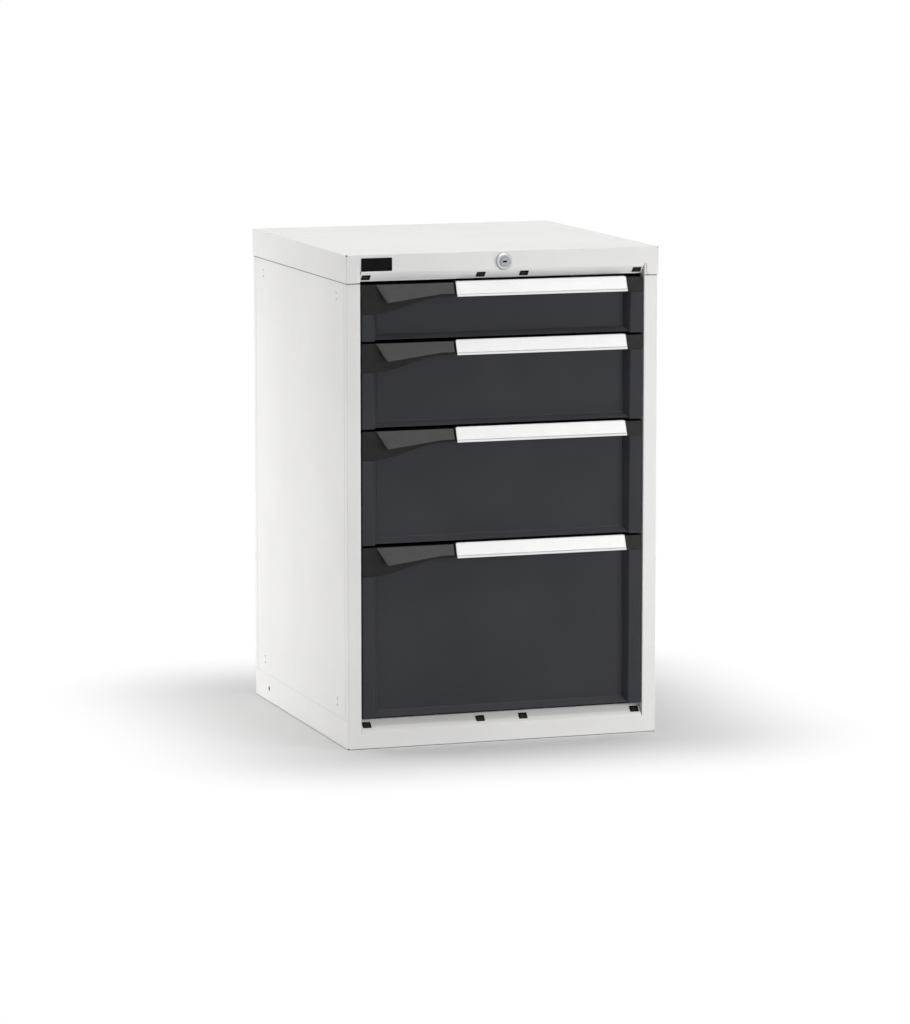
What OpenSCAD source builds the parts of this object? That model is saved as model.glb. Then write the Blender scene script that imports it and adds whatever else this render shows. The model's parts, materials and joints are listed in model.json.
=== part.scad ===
// Workshop drawer cabinet: a sheet-steel carcass with four full-width drawers on roller
// runners, a slide latch in each drawer and one cylinder lock that blocks them all.
// Millimetres. X runs to the right, Y to the back and Z up. The origin is the middle of
// the base on the floor, and the drawers open towards -Y.

/* [Carcass] */
// Width over the side panels
body_w = 561; // [480:1:900]
// Depth over the uprights and the back
body_d = 569; // [540:1:760]
// Height of the base below the lowest drawer
base_h = 50; // [44:1:90]
// Height of the top zone above the highest drawer
top_h = 50; // [50:1:80]
// Thickness of the carcass sheet
sheet = 1.5; // [1:0.1:2.5]
// Width of each front upright
upright_w = 24; // [20:1:32]
// Depth of the folds behind the uprights
upright_fold = 20; // [18.5:0.5:21]
// Width of the folds at the rear corners
rear_fold = 22; // [10:1:40]
// Height of the skirt that the cover hangs over the body
skirt_h = 48; // [47:0.5:49]
// Height and depth of the slanted faces above and below the drawers
bevel = 17.5; // [16:0.5:18]
// Radius of the skirt's lower corners beside the drawers
skirt_r = 5; // [2:0.5:8]
// Distance of the skirt's inner edges from the uprights' inner edges
skirt_gap = 3.7; // [1:0.1:6]
// Depth of the flange behind the cover's slanted face
cover_flange = 18; // [8:1:18]
// Drop from the drawer zone to the top of the base's sill
sill_drop = 1; // [0.5:0.1:2]
// Depth of the flange behind the sill
sill_flange = 22; // [12:1:30]
// Width of the relief cut beside each slanted face
relief_w = 1; // [0.6:0.1:3]
// Height of the relief cut past the fold
relief_h = 2.5; // [1:0.5:4]
// Diameter of the fixing hole in each side of the base
side_hole_d = 9; // [5:0.5:14]
// Height of the fixing holes above the floor
side_hole_z = 24.8; // [18:0.2:34]
// Distance of the fixing holes from the back
side_hole_inset = 85.5; // [40:0.5:140]

/* [Plugs] */
// Width of each slot plug's head
plug_w = 15.4; // [10:0.2:20]
// Length of each plug's head along the slope
plug_l = 12; // [8:0.2:16]
// Thickness of the plug's head
plug_head = 0.8; // [0.4:0.1:1.5]
// Depth of the plug's body
plug_body = 4; // [2.5:0.5:6]
// Lip of the head around the slot
plug_lip = 0.7; // [0.4:0.1:1.2]
// Distance of the inner plugs from the middle
plug_inner_x = 39; // [28:0.5:80]
// Distance of the outer plugs from the uprights
plug_edge = 12; // [11:0.5:30]

/* [Badge plate] */
// Width of the bare plate
badge_w = 54.7; // [30:0.1:80]
// Height of the bare plate
badge_h = 22.5; // [14:0.1:26]
// Thickness of the bare plate
badge_t = 1.2; // [0.6:0.1:2]
// Distance of the plate from the upright's inner edge
badge_edge = 1.2; // [0:0.1:40]
// Distance of the plate from the top
badge_drop = 5.8; // [2:0.1:6]

/* [Drawers] */
// Front height of the highest drawer
front_h_1 = 100; // [90:5:400]
// Front height of the second drawer
front_h_2 = 150; // [90:5:400]
// Front height of the third drawer
front_h_3 = 200; // [90:5:400]
// Front height of the lowest drawer
front_h_4 = 300; // [90:5:400]
// Gap between drawer fronts
drawer_gap = 4; // [2:0.5:6]
// Gap between a drawer front and the uprights
side_gap = 2; // [1:0.1:4]
// Set-back of the drawer fronts behind the uprights
setback = 2.5; // [1:0.1:3.5]
// Width of the flat strips at both ends of a front
strip_w = 22.5; // [18:0.5:26]
// Depth of the recessed panel
recess = 14.5; // [13:0.1:16]
// Height of the slanted face below the panel
foot_slope_h = 11.5; // [6:0.5:20]
// Height of the panel's lower edge above the lower ends of the strips
foot_lift = 2.5; // [0.5:0.5:4]
// Thickness of the front's sheet
front_sheet = 1.2; // [0.8:0.1:2]

/* [Trays] */
// Room between the drawer opening and each side of a tray
side_room = 26; // [24:0.5:30]
// Room behind the trays
rear_room = 90; // [80:1:110]
// Thickness of the tray's sheet
tray_sheet = 1; // [0.7:0.1:1.6]
// Height of a tray's floor above the lower edge of its front
tray_lift = 6; // [3:0.5:10]
// Distance of a tray's rim below the upper edge of its front
tray_drop = 24; // [20:1:30]
// Thickness of the folded rim
rim_t = 3; // [2:0.1:5]
// Height of the folded rim
rim_h = 6; // [3:0.5:10]

/* [Handles] */
// Height of the handle profile
handle_h = 25.5; // [22:0.5:32]
// How far the handle stands above the caps at its ends
handle_rise = 2.5; // [0.5:0.5:3]
// How far the handle leans out at its lower edge
handle_lean = 10.7; // [6:0.1:14]
// Wall of the handle profile
handle_wall = 1.8; // [1.2:0.1:2.4]
// Height of the lip below the crease
lip_h = 4.2; // [3:0.1:6]
// Depth of the crease
crease = 0.9; // [0.4:0.1:1.1]
// Margin of the label above and below
label_margin = 1.6; // [1:0.1:3]
// Depth of the label's seat
label_seat = 0.6; // [0.4:0.1:0.9]
// Thickness of the label strip
label_t = 0.5; // [0.2:0.1:0.6]
// Length of the left cap along the front
left_cap_w = 166.5; // [140:0.5:190]
// Height of the left cap at its outer end
left_cap_h = 50; // [40:0.5:56]
// Height of the left cap beside the handle
left_cap_low_h = 23.5; // [22:0.5:28]
// Length of the right cap along the front
right_cap_w = 30.5; // [26:0.5:50]
// Gap between the handle and the left cap
cap_gap = 1.5; // [0.3:0.1:3]
// Gap between the handle and the right cap
right_cap_gap = 1.5; // [0.3:0.1:3]
// Height of the right cap
right_cap_h = 25.5; // [20:0.5:30]
// Wall of the right cap
cap_wall = 2; // [1.2:0.1:4]

/* [Slide latches] */
// Stroke of the slide latch
latch_stroke = 8; // [5:0.5:9]
// Height of the bolt
bolt_h = 10; // [6:0.5:12]
// Thickness of the bolt
bolt_t = 7; // [4:0.5:8]
// Distance of the bolt's middle below the upper edge
bolt_drop = 13; // [11:0.5:16]
// Length of the bolt
bolt_l = 125; // [100:1:130]
// Length of the stem behind the thumb grip
stem_l = 30; // [16:1:40]
// Distance of the stem from the bolt's left end
stem_inset = 63; // [50:1:68]
// Running clearance of the latch
latch_play = 0.4; // [0.2:0.1:0.6]
// Height of the thumb grip at its tall end
grip_h = 30; // [26:0.5:36]
// Height of the thumb grip beside the handle
grip_low_h = 18; // [17.5:0.5:22]
// Distance of the thumb grip from the front's left edge
grip_inset = 26; // [14:0.5:30]
// Length of the thumb grip's slanted end
grip_slant = 18; // [12:0.5:22]
// Length of the slope from the grip's tall end to its low end
grip_taper = 96; // [60:1:110]
// Gap between the thumb grip and the edge of the left cap
grip_gap = 2.5; // [0.4:0.1:4]

/* [Runners] */
// Thickness of the runner sheet
rail_sheet = 1.5; // [1:0.1:2]
// Diameter of the rollers
roller_d = 21.6; // [16:0.2:24]
// Clearance between rollers and runners
roller_play = 0.2; // [0.1:0.05:0.4]
// Step between the cabinet rail's and the drawer runner's flanges
flange_step = 0.5; // [0.3:0.1:1]
// Height of the roller axles above the tray's floor
axle_rise = 18; // [17:0.5:20]
// Diameter of the roller axles
axle_d = 5; // [4:0.1:8]
// Radial running clearance of an axle
axle_play = 0.05; // [0.02:0.01:0.1]
// Thickness of the carriage plate
plate_t = 1.5; // [1:0.1:2.5]
// Height of the carriage plate
plate_h = 16; // [12:0.5:20]
// Gap between the carriage plate and the runners
plate_play = 0.4; // [0.3:0.1:0.6]
// Length of the guide at the carriage's rear end
guide_l = 26; // [16:1:40]
// Distance of the cabinet rails behind the front of the uprights
rail_setback = 22.5; // [22:0.5:24]

/* [Columns] */
// Depth of a column from the side panel inwards
column_w = 18; // [16:0.5:20]
// Length of a column from front to back
column_l = 30; // [20:1:40]
// Distance of a column's middle from the front or the back
column_inset = 61.5; // [54:0.5:70]
// Height of a hook slot
slot_h = 10; // [6:0.5:14]
// Length of a hook slot
slot_l = 8; // [5:0.5:14]
// Distance between hook slots
slot_pitch = 50; // [25:1:100]
// Clearance of a rail's hook in its slot
hook_play = 0.3; // [0.1:0.1:0.6]
// Diameter of the column rivets
rivet_d = 4; // [3:0.1:6]
// Distance between the two rivets of a pair
rivet_pitch = 11; // [8:0.5:20]
// Distance of a rivet pair from a column's end
rivet_end = 24.5; // [16:0.5:40]
// Depth of a rivet head below the side panel's surface
rivet_sink = 0.4; // [0.1:0.1:0.8]

/* [Lock] */
// Diameter of the lock's rosette
rosette_d = 29; // [24:0.5:30]
// How far the rosette stands out
rosette_t = 5; // [3:0.5:7]
// Diameter of the lock's body
lock_body_d = 19; // [17:0.5:20]
// Diameter of the key cylinder
key_d = 14; // [11:0.5:15]
// Distance of the lock's axis below the top
lock_drop = 18; // [17:0.5:19]
// Stroke of the locking bar
lock_stroke = 9; // [6:0.5:10]
// Diameter of the crank pin and of the locking bar's pin
pin_d = 5; // [3:0.5:6]
// Clearance of the pins in their slots
pin_play = 0.5; // [0.4:0.05:0.8]
// Thickness of the lock slider and the locking bar
bar_t = 3; // [2:0.1:3.5]
// Width of the locking bar
bar_w = 14; // [10:0.5:15]
// Height of a tooth on the locking bar
tooth_h = 6; // [4:0.5:8]
// Height of a drawer's lock tab above the lower edge of its front
tab_z = 40; // [39:0.5:44]
// Height of a lock tab
tab_h = 14; // [11:0.5:16]

/* [Hidden] */
$fn = 64;
// Clearance between separate pieces
play = 0.3;
// Overlap that joins shapes of one piece
eps = 0.01;
// Length that a cut runs past a face
over = 1;
// Angle of the slanted faces of the carcass
fold_angle = 45;

// Levels and planes of the carcass
front_h = [front_h_1, front_h_2, front_h_3, front_h_4];
function sum_from(i) = i > 3 ? 0 : front_h[i] + sum_from(i + 1);
zone_top = base_h + sum_from(0);
cabinet_h = zone_top + top_h;
skirt_z = cabinet_h - skirt_h;
sill_z = base_h - sill_drop;
side_x = body_w / 2;
inner_x = side_x - sheet;
opening_x = side_x - upright_w;
face_y = -body_d / 2;
rear_y = body_d / 2;
cover_y = face_y - sheet;
fold_tan = tan(fold_angle / 2);

// Levels and planes of a drawer
function nominal_bottom(i) = base_h + sum_from(i + 1);
function front_low(i) = nominal_bottom(i) + drawer_gap / 2;
function front_top(i) = nominal_bottom(i) + front_h[i] - drawer_gap / 2;
front_x = opening_x - side_gap;
strip_y = face_y + setback;
panel_y = strip_y + recess;
tray_y = panel_y + front_sheet;
tray_rear_y = rear_y - rear_room;
tray_x = opening_x - side_room;
handle_left_x = -front_x + left_cap_w + cap_gap;
handle_right_x = front_x - right_cap_w - right_cap_gap;

// Runner layout, with X counted from the middle of the cabinet outwards
column_x = inner_x - column_w;
plate_x = (tray_x + column_x) / 2;
tip_in_x = plate_x - plate_t / 2 - plate_play;
tip_out_x = plate_x + plate_t / 2 + plate_play;
roller_r = roller_d / 2;
channel_r = roller_r + roller_play;
rail_overhang = 7;
rail_y = face_y + rail_setback;
rail_rear_y = rear_y - column_inset + column_l / 2 + rail_overhang;
runner_setback = 2;
runner_y = tray_y + runner_setback;
front_axle_y = rail_y + roller_d;
middle_axle_y = (rail_y + tray_rear_y) / 2;
carriage_nose = 12;
carriage_front_y = front_axle_y - carriage_nose;
carriage_setback = 4;
carriage_rear_y = tray_rear_y - carriage_setback;
roller_gap = 1.2;
function axle_z(i) = front_low(i) + tray_lift + axle_rise;

// Slide latch layout
bolt_shift = 1;
bolt_y = (strip_y + panel_y) / 2 + bolt_shift;
bolt_sink = 2;
bolt_left_x = -front_x + bolt_sink;
bolt_right_x = bolt_left_x + bolt_l;
bolt_room = 2;
slot_room = 1;
stem_left_x = bolt_left_x + stem_inset;
stem_room = 1;
window_step = 1;
window_h = bolt_h - 2 * window_step;
lean = handle_lean / handle_h;
grip_left_x = -front_x + grip_inset;
grip_right_x = handle_left_x - cap_gap - grip_gap;
swoop_start = 14.5;
swoop_end = 12;
swoop_left_x = -front_x + swoop_start;
swoop_right_x = handle_left_x - cap_gap - swoop_end;

// Lock layout
lock_z = cabinet_h - lock_drop;
nut_t = 4;
nut_room = 0.1;
nut_flats = 2 * (lock_z - skirt_z - bevel - sheet * fold_tan - nut_room);
lock_hole_play = 0.1;
disc_t = 3;
disc_rim = 1.5;
rest_angle = 45;
crank_r = lock_stroke / (2 * sin(rest_angle));
slider_y = face_y + upright_fold + play;
disc_y = slider_y - play - disc_t;
lock_body_y = disc_y - play;
bar_y = slider_y + bar_t + play;
bar_gap = 0.5;
bar_x = column_x + bar_gap;
bar_foot = 1;
bar_low_z = base_h + lock_stroke + bar_foot;
bar_pin_inset = 1.5;
bar_pin_x = opening_x + bar_pin_inset;
slider_rim = 4;
slider_low_z = lock_z - lock_stroke - pin_d / 2 - pin_play - slider_rim;
slider_top_z = lock_z + crank_r + pin_d / 2 + pin_play + slider_rim;
tab_inset = 5.5;
tab_rim = 5;
tab_x = front_x - tab_inset;
tooth_reach = 5;
tooth_tip_x = tab_x - tooth_reach;
tooth_gap = 2;
notch_room = 3;
notch_w = bar_t + notch_room;
notch_clear = 1;
notch_depth = lock_stroke - tooth_gap + notch_clear;
function tooth_z(i) = front_low(i) + tab_z + tab_h + tooth_gap;

// A box between two corners
module box(low, high) {
  translate(low) cube(high - low);
}

// An outline in Y and Z, drawn out along X
module along_x(x0, x1) {
  translate([x0, 0, 0]) rotate([90, 0, 90]) linear_extrude(x1 - x0) children();
}

// An outline in X and Z, drawn out along Y
module along_y(y0, y1) {
  translate([0, y1, 0]) rotate([90, 0, 0]) linear_extrude(y1 - y0) children();
}

// The same piece on the right and, mirrored, on the left
module both_sides() {
  children();
  mirror([1, 0, 0]) children();
}

// A cylinder along X
module rod_x(x0, x1, r) {
  translate([x0, 0, 0]) rotate([0, 90, 0]) cylinder(h = x1 - x0, r = r);
}

// A cylinder along Y
module rod_y(y0, y1, r) {
  translate([0, y1, 0]) rotate([90, 0, 0]) cylinder(h = y1 - y0, r = r);
}

// Places a shape in the middle of the slanted face above or below the drawers,
// with its own Z along the face's outward normal
module on_slope(above) {
  y = (above ? cover_y : face_y) + bevel / 2;
  z = above ? skirt_z + bevel / 2 : sill_z - bevel / 2;
  translate([0, y, z]) rotate([above ? 180 - fold_angle : fold_angle, 0, 0]) children();
}

// Positions of the plugs across a slanted face
plug_x = [
  -opening_x + plug_edge, -plug_inner_x, plug_inner_x, opening_x - plug_edge
];

module plug_slots(above) {
  w = plug_w - 2 * plug_lip;
  l = plug_l - 2 * plug_lip;
  for (x = plug_x)
    translate([x, 0, 0]) on_slope(above)
      translate([-w / 2, -l / 2, -sheet - over]) cube([w, l, sheet + 2 * over]);
}

// Carcass

// Section of the base's front: a sill that leans in towards the drawers
module sill_outline() {
  fold_z = sill_z - bevel;
  k = sheet * fold_tan;
  polygon([
    [face_y, 0], [face_y, fold_z], [face_y + bevel, sill_z],
    [face_y + bevel + sill_flange, sill_z], [face_y + bevel + sill_flange, sill_z - sheet],
    [face_y + bevel + k, sill_z - sheet], [face_y + sheet, fold_z - k], [face_y + sheet, 0]
  ]);
}

module base_frame() {
  color([0.87, 0.87, 0.86]) difference() {
    union() {
      both_sides() {
        box([inner_x, face_y, 0], [side_x, rear_y, base_h]);
        box([opening_x, face_y, 0], [side_x, face_y + sheet, base_h]);
        box([opening_x, face_y, 0], [opening_x + sheet, face_y + upright_fold, base_h]);
      }
      box([-side_x, face_y, 0], [side_x, rear_y, sheet]);
      box([-side_x, rear_y - sheet, 0], [side_x, rear_y, base_h]);
      along_x(-opening_x - eps, opening_x + eps) sill_outline();
    }
    both_sides()
      box([opening_x - relief_w, face_y - over, sill_z - bevel - relief_h],
          [opening_x, face_y + bevel, base_h + over]);
    plug_slots(false);
    both_sides()
      translate([0, rear_y - side_hole_inset, side_hole_z])
        rod_x(inner_x - over, side_x + over, side_hole_d / 2);
  }
}

// One side panel with its front upright and its rear fold, on the right
module side_panel() {
  top = cabinet_h - sheet;
  box([inner_x, face_y, base_h], [side_x, rear_y, top]);
  box([opening_x, face_y, base_h], [side_x, face_y + sheet, top]);
  box([opening_x, face_y, base_h], [opening_x + sheet, face_y + upright_fold, top]);
  box([side_x - rear_fold, rear_y - sheet, base_h], [side_x, rear_y, top]);
}

// Heights of the rivets in a column
rivet_z = [
  for (z = [base_h + rivet_end, zone_top - rivet_end], s = [-1, 1]) z + s * rivet_pitch / 2
];

// Places a shape at every rivet on the right
module at_rivets() {
  for (y = [face_y + column_inset, rear_y - column_inset], z = rivet_z)
    translate([0, y, z]) children();
}

module right_side_panel() {
  color([0.87, 0.87, 0.86]) difference() {
    side_panel();
    at_rivets() rod_x(inner_x - over, side_x + over, rivet_d / 2);
  }
}

module left_side_panel() {
  color([0.87, 0.87, 0.86]) difference() {
    mirror([1, 0, 0]) difference() {
      side_panel();
      at_rivets() rod_x(inner_x - over, side_x + over, rivet_d / 2);
    }
    for (i = [0:3])
      box([-opening_x - sheet - over, bolt_y - bolt_t / 2 - slot_room,
           front_top(i) - bolt_drop - bolt_h / 2 - slot_room],
          [-opening_x + over, bolt_y + bolt_t / 2 + slot_room,
           front_top(i) - bolt_drop + bolt_h / 2 + slot_room]);
  }
}

module back_panel() {
  color([0.87, 0.87, 0.86])
    box([-inner_x, rear_y - 2 * sheet, sheet], [inner_x, rear_y - sheet, cabinet_h - sheet]);
}

// Section of the cover's front: a fascia that leans in towards the drawers
module fascia_outline() {
  fold_z = skirt_z + bevel;
  k = sheet * fold_tan;
  polygon([
    [cover_y, cabinet_h - eps], [cover_y, fold_z], [cover_y + bevel, skirt_z],
    [cover_y + bevel + cover_flange, skirt_z], [cover_y + bevel + cover_flange, skirt_z + sheet],
    [cover_y + bevel + k, skirt_z + sheet], [cover_y + sheet, fold_z + k],
    [cover_y + sheet, cabinet_h - eps]
  ]);
}

// The skirt in front of the right upright, with its inner lower corner rounded
module skirt_outline() {
  left = opening_x + skirt_gap;
  width = side_x + sheet - left;
  translate([left, skirt_z + skirt_r]) square([width, skirt_h - skirt_r - eps]);
  translate([left + skirt_r, skirt_z]) square([width - skirt_r, skirt_h - eps]);
  translate([left + skirt_r, skirt_z + skirt_r]) circle(r = skirt_r);
}

module top_cover() {
  x = side_x + sheet;
  y = rear_y + sheet;
  color([0.89, 0.89, 0.88]) difference() {
    union() {
      box([-x, cover_y, cabinet_h - sheet], [x, y, cabinet_h]);
      box([-x, rear_y, skirt_z], [x, y, cabinet_h]);
      box([-x, cover_y, skirt_z + bevel + relief_h], [x, face_y, cabinet_h]);
      both_sides() {
        box([side_x, cover_y, skirt_z], [x, y, cabinet_h]);
        along_y(cover_y, face_y) skirt_outline();
      }
      along_x(-opening_x + relief_w, opening_x - relief_w) fascia_outline();
    }
    plug_slots(true);
    translate([0, 0, lock_z])
      rod_y(cover_y - over, face_y + over, lock_body_d / 2 + lock_hole_play);
  }
}

module slot_plugs() {
  w = plug_w - 2 * plug_lip - play;
  l = plug_l - 2 * plug_lip - play;
  color([0.06, 0.06, 0.06])
    for (above = [false, true], x = plug_x)
      translate([x, 0, 0]) on_slope(above) {
        translate([-plug_w / 2, -plug_l / 2, 0]) cube([plug_w, plug_l, plug_head]);
        translate([-w / 2, -l / 2, -plug_body]) cube([w, l, plug_body + eps]);
      }
}

module badge_plate() {
  left = -opening_x + badge_edge;
  top = cabinet_h - badge_drop;
  color([0.05, 0.05, 0.05])
    box([left, cover_y - badge_t, top - badge_h], [left + badge_w, cover_y, top]);
}

// Columns and rails

module rail_columns() {
  slot_from = axle_z(3);
  slot_count = floor((zone_top - slot_h - slot_from) / slot_pitch);
  slot_z = concat(
    [for (n = [0:slot_count]) slot_from + n * slot_pitch],
    [for (i = [0:3]) axle_z(i)]
  );
  color([0.8, 0.8, 0.8]) both_sides() difference() {
    for (y = [face_y + column_inset, rear_y - column_inset])
      difference() {
        box([column_x, y - column_l / 2, sheet], [inner_x, y + column_l / 2, zone_top]);
        box([column_x + sheet, y - column_l / 2 + sheet, 0],
            [inner_x - sheet, y + column_l / 2 - sheet, zone_top + over]);
        for (z = slot_z)
          box([column_x - over, y - slot_l / 2, z - slot_h / 2],
              [column_x + sheet + over / 2, y + slot_l / 2, z + slot_h / 2]);
      }
    at_rivets() rod_x(inner_x - sheet - over, inner_x + over, rivet_d / 2);
  }
}

module column_rivets() {
  rivet_play = 0.02;
  color([0.78, 0.78, 0.77]) both_sides() at_rivets()
    rod_x(inner_x - sheet - over, side_x - rivet_sink, rivet_d / 2 - rivet_play);
}

module cabinet_rails() {
  color([0.72, 0.73, 0.74]) both_sides() for (i = [0:3]) {
    z = axle_z(i);
    low = z - channel_r;
    high = z + channel_r + flange_step;
    box([column_x - rail_sheet, rail_y, low - rail_sheet],
        [column_x, rail_rear_y, high + rail_sheet]);
    box([tip_out_x, rail_y, low - rail_sheet], [column_x, rail_rear_y, low]);
    box([tip_out_x, rail_y, high], [column_x, rail_rear_y, high + rail_sheet]);
    for (y = [face_y + column_inset, rear_y - column_inset])
      box([column_x - eps, y - slot_l / 2 + hook_play, z - slot_h / 2 + hook_play],
          [column_x + sheet, y + slot_l / 2 - hook_play, z + slot_h / 2 - hook_play]);
  }
}

// Lock

module lock_housing() {
  bore_r = key_d / 2 + axle_play;
  r = rosette_d / 2;
  rim = 2;
  step = 1.2;
  color([0.75, 0.76, 0.78]) translate([0, cover_y, lock_z]) rotate([90, 0, 0]) rotate_extrude()
    polygon([
      [bore_r, cover_y - lock_body_y], [lock_body_d / 2, cover_y - lock_body_y],
      [lock_body_d / 2, 0], [r, 0], [r, rim], [r - 2 * step, rosette_t - step / 2],
      [r - 3 * step, rosette_t], [bore_r + 2 * step, rosette_t], [bore_r, rosette_t - step / 2]
    ]);
}

module lock_nut() {
  color([0.7, 0.71, 0.72]) translate([0, face_y + nut_t, lock_z]) rotate([90, 0, 0])
    difference() {
      cylinder(h = nut_t, d = nut_flats / cos(30), $fn = 6);
      translate([0, 0, -over]) cylinder(h = nut_t + 2 * over, d = lock_body_d + 2 * axle_play);
    }
}

module lock_cylinder() {
  key_sink = 0.6;
  front = cover_y - rosette_t + key_sink;
  key_w = 7.7;
  key_t = 2;
  key_depth = 9;
  color([0.7, 0.71, 0.73]) translate([0, 0, lock_z]) {
    difference() {
      rod_y(front, disc_y + eps, key_d / 2);
      box([-key_w / 2, front - over, -key_t / 2], [key_w / 2, front + key_depth, key_t / 2]);
    }
    rod_y(disc_y, disc_y + disc_t, crank_r + pin_d / 2 + disc_rim);
    rotate([0, -rest_angle, 0]) translate([0, 0, crank_r])
      rod_y(disc_y + disc_t - eps, slider_y + bar_t, pin_d / 2);
  }
}

module lock_slider() {
  slot_r = pin_d / 2 + pin_play;
  end_rim = 6;
  slot_slope = 45;
  yoke_x = -crank_r * sin(rest_angle);
  yoke_z = crank_r * cos(rest_angle);
  right = bar_pin_x + slot_r + slider_rim;
  left = yoke_x - slot_r - end_rim;
  color([0.74, 0.75, 0.76]) along_y(slider_y, slider_y + bar_t) difference() {
    translate([left, slider_low_z]) square([right - left, slider_top_z - slider_low_z]);
    translate([yoke_x - slot_r, lock_z + yoke_z - slot_r])
      square([2 * slot_r, crank_r - yoke_z + 2 * slot_r]);
    for (s = [0, lock_stroke]) translate([bar_pin_x - s, lock_z - s]) circle(r = slot_r);
    translate([bar_pin_x, lock_z]) rotate(180 + slot_slope)
      translate([0, -slot_r]) square([lock_stroke * sqrt(2), 2 * slot_r]);
  }
}

module lock_bar() {
  head_h = 8;
  head_rim = 6;
  color([0.74, 0.75, 0.76]) {
    along_y(bar_y, bar_y + bar_t) {
      translate([bar_x, bar_low_z]) square([bar_w, slider_top_z - bar_low_z]);
      translate([bar_pin_x - head_rim, lock_z - head_h])
        square([bar_x + bar_w - bar_pin_x + head_rim, slider_top_z - lock_z + head_h]);
      for (i = [0:3])
        translate([tooth_tip_x, tooth_z(i)]) square([bar_x - tooth_tip_x + eps, tooth_h]);
    }
    translate([bar_pin_x, 0, lock_z]) rod_y(slider_y + play, bar_y + eps, pin_d / 2);
  }
}

// Drawers, with i counted from the top

module drawer_tray(i) {
  low = front_low(i) + tray_lift;
  top = front_top(i) - tray_drop;
  color([0.24, 0.25, 0.27]) {
    difference() {
      box([-tray_x, tray_y, low], [tray_x, tray_rear_y, top]);
      box([-tray_x + tray_sheet, tray_y + tray_sheet, low + tray_sheet],
          [tray_x - tray_sheet, tray_rear_y - tray_sheet, top + over]);
    }
    both_sides()
      box([tray_x - rim_t, tray_y, top - rim_h], [tray_x, tray_rear_y, top]);
    box([-tray_x, tray_rear_y - rim_t, top - rim_h], [tray_x, tray_rear_y, top]);
  }
}

// One end strip of a front with its slanted inner face, on the right
module front_strip(low, high) {
  t = front_sheet;
  k = t * sqrt(2);
  difference() {
    translate([0, 0, low]) linear_extrude(high - low) polygon([
      [front_x, strip_y], [front_x, panel_y + eps],
      [front_x - strip_w - recess - eps, panel_y + eps], [front_x - strip_w, strip_y]
    ]);
    translate([0, 0, low - over]) linear_extrude(high - low - t + over) polygon([
      [front_x - t, strip_y + t], [front_x - t, panel_y],
      [front_x - strip_w - recess + k, panel_y], [front_x - strip_w + k - t, strip_y + t]
    ]);
  }
}

// The sheet below the recessed panel that slants out to the lower edge
module foot_slope(low) {
  t = front_sheet * norm([recess, foot_slope_h]) / recess;
  x = front_x - strip_w;
  along_x(-x, x) difference() {
    polygon([[strip_y, low], [panel_y + eps, low + foot_slope_h], [panel_y + eps, low]]);
    polygon([
      [strip_y + t * recess / foot_slope_h, low - eps],
      [panel_y, low + foot_slope_h - t], [panel_y, low - eps]
    ]);
  }
}

// The tab that the locking bar's tooth drops into
module lock_tab(low) {
  tooth_y = bar_y + bar_t / 2;
  rear = tooth_y + notch_w / 2 + tab_rim;
  difference() {
    box([tab_x, panel_y, low + tab_z], [tab_x + front_sheet, rear, low + tab_z + tab_h]);
    box([tab_x - over, tooth_y - notch_w / 2, low + tab_z + tab_h - notch_depth],
        [tab_x + front_sheet + over, tooth_y + notch_w / 2, low + tab_z + tab_h + over]);
  }
}

module drawer_front(i) {
  low = front_low(i);
  top = front_top(i);
  color([0.22, 0.23, 0.25]) {
    box([-front_x, panel_y, low + foot_lift], [front_x, tray_y, top]);
    front_strip(low, top - right_cap_h);
    mirror([1, 0, 0]) front_strip(low, top - left_cap_h);
    foot_slope(low + foot_lift);
    lock_tab(low);
  }
}

// Y of a slanted face at a height below its upper edge
function slant_y(z) = face_y + lean * z;

module drawer_handle(i) {
  w = handle_wall;
  slant_w = w * norm([1, lean]);
  lip_turn = 0.4;
  back_lift = 1;
  face_low = -handle_h + lip_h;
  color([0.93, 0.93, 0.93]) translate([0, 0, front_top(i) + handle_rise])
    along_x(handle_left_x, handle_right_x) polygon([
      [slant_y(0), 0],
      [slant_y(-label_margin), -label_margin],
      [slant_y(-label_margin) + label_seat, -label_margin],
      [slant_y(face_low + label_margin / 2) + label_seat, face_low + label_margin / 2],
      [slant_y(face_low + label_margin / 2), face_low + label_margin / 2],
      [slant_y(face_low), face_low],
      [slant_y(face_low) + crease, face_low - crease / 2],
      [slant_y(face_low - crease), face_low - crease],
      [slant_y(-handle_h) + lip_turn, -handle_h],
      [slant_y(-handle_h) + lip_turn + slant_w, -handle_h],
      [slant_y(face_low - crease) + lip_turn + slant_w, face_low - crease],
      [slant_y(-w) + slant_w, -w],
      [panel_y - w, -w],
      [panel_y - w, -handle_h + back_lift],
      [panel_y, -handle_h + back_lift],
      [panel_y, 0]
    ]);
}

module drawer_label_strip(i) {
  end = 2;
  label_play = 0.1;
  high = -label_margin - label_play;
  low = -handle_h + lip_h + label_margin / 2 + label_play;
  color([0.96, 0.96, 0.95]) translate([0, 0, front_top(i) + handle_rise])
    along_x(handle_left_x + end, handle_right_x - end) polygon([
      [slant_y(high) + label_seat - label_t, high], [slant_y(low) + label_seat - label_t, low],
      [slant_y(low) + label_seat, low], [slant_y(high) + label_seat, high]
    ]);
}

// A smooth fall from one height to another
function ease(from, to, t) = from + (to - from) * (1 - cos(180 * t)) / 2;
curve_steps = 14;

// Outline of the left cap, whose lower edge sweeps up to the handle
module left_cap_outline() {
  polygon(concat(
    [[-front_x, 0], [-front_x, -left_cap_h]],
    [for (n = [0:curve_steps])
      [swoop_left_x + (swoop_right_x - swoop_left_x) * n / curve_steps,
       ease(-left_cap_h, -left_cap_low_h, n / curve_steps)]],
    [[handle_left_x - cap_gap, -left_cap_low_h], [handle_left_x - cap_gap, 0]]
  ));
}

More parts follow.
